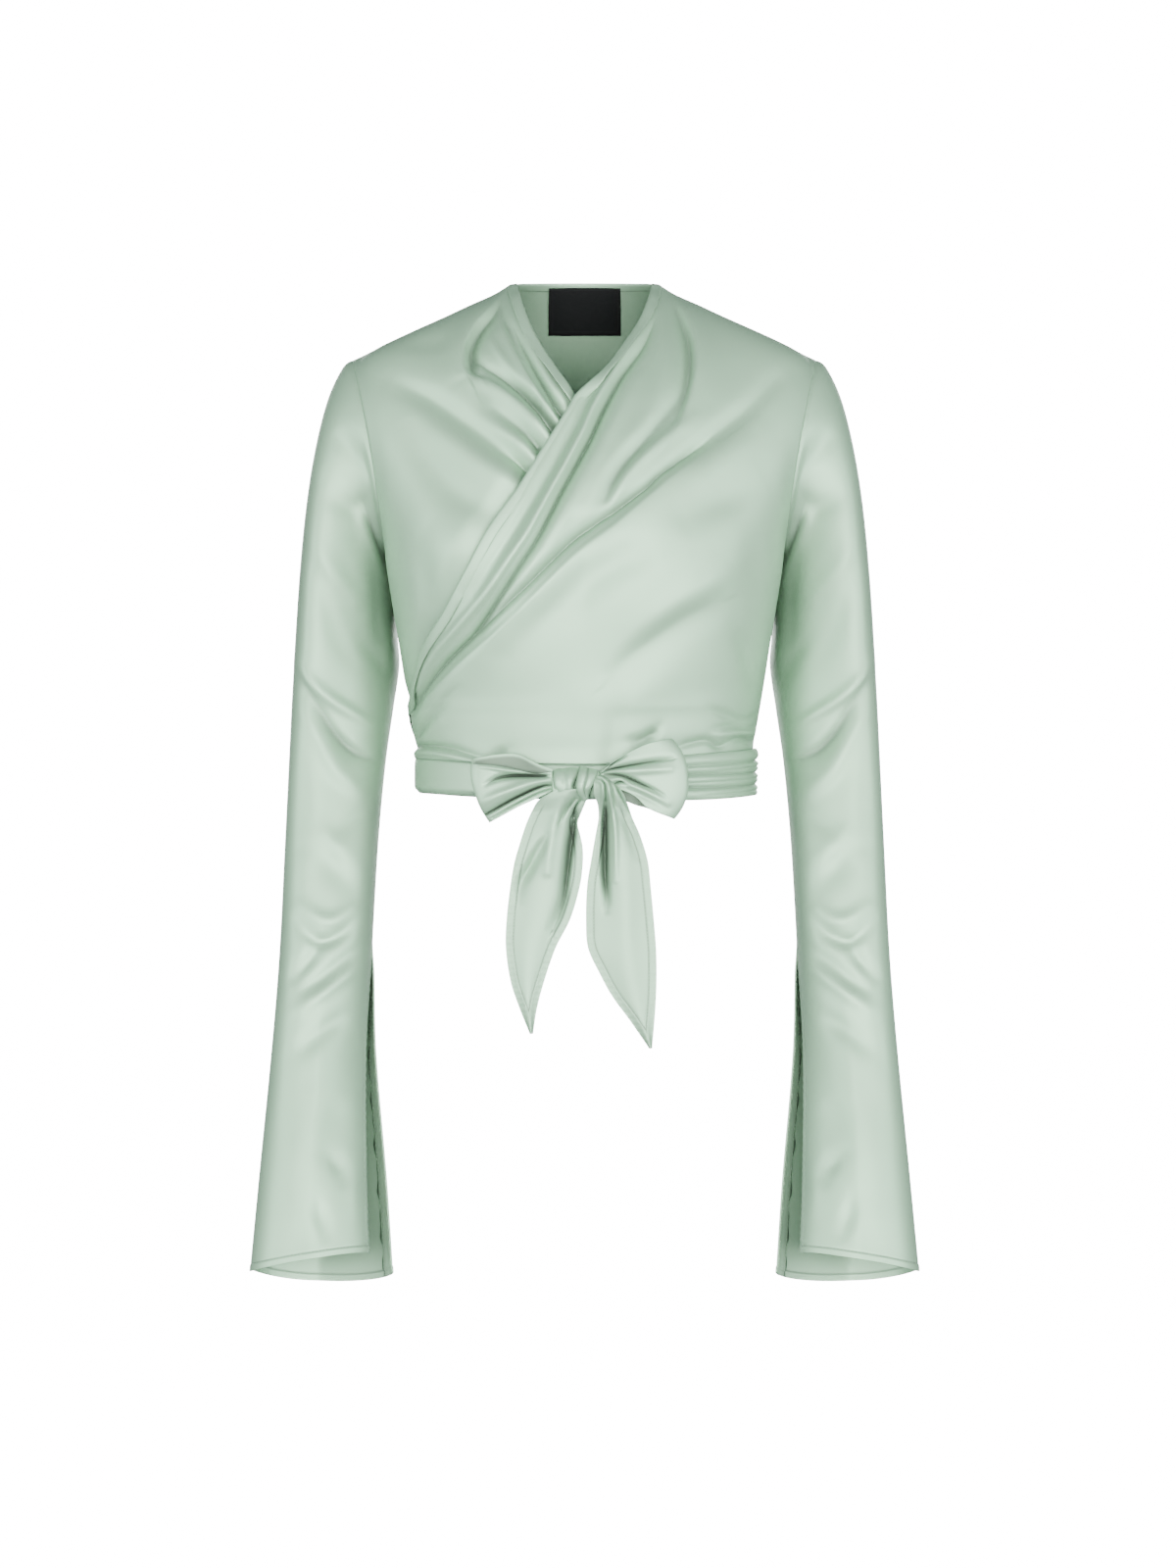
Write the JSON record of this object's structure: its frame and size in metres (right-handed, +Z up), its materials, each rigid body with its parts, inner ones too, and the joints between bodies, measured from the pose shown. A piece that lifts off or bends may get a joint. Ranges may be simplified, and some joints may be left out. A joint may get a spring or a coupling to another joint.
{
  "type": "wrap top",
  "caption": "Cropped satin wrap top with crossed fronts, a V neck, long slit sleeves and a gathered waist tie with a bow in front.",
  "frame": {"origin": "middle of the neck opening, level with the neck ends of the shoulder seams", "axes": "+X to the viewer's right of the front, -Y the front, +Z up; the top hangs as worn"},
  "size_m": [0.536, 0.235, 0.817],
  "materials": {
    "satin": "mint green satin, smooth with a soft sheen",
    "label": "black woven label, blank"
  },
  "bodies": {
    "root": {"back_panel": "satin", "front_over": "satin", "front_under": "satin", "sleeve_wearer_right": "satin", "sleeve_wearer_left": "satin", "binding_over": "satin", "binding_under": "satin", "binding_back": "satin", "waistband_over": "satin", "waistband_under": "satin", "waistband_back": "satin", "tie_sash": "satin", "bow_loop_left": "satin", "bow_loop_right": "satin", "bow_knot": "satin", "tie_tail_left": "satin", "tie_tail_right": "satin", "neck_label": "label"}
  },
  "joints": []
}
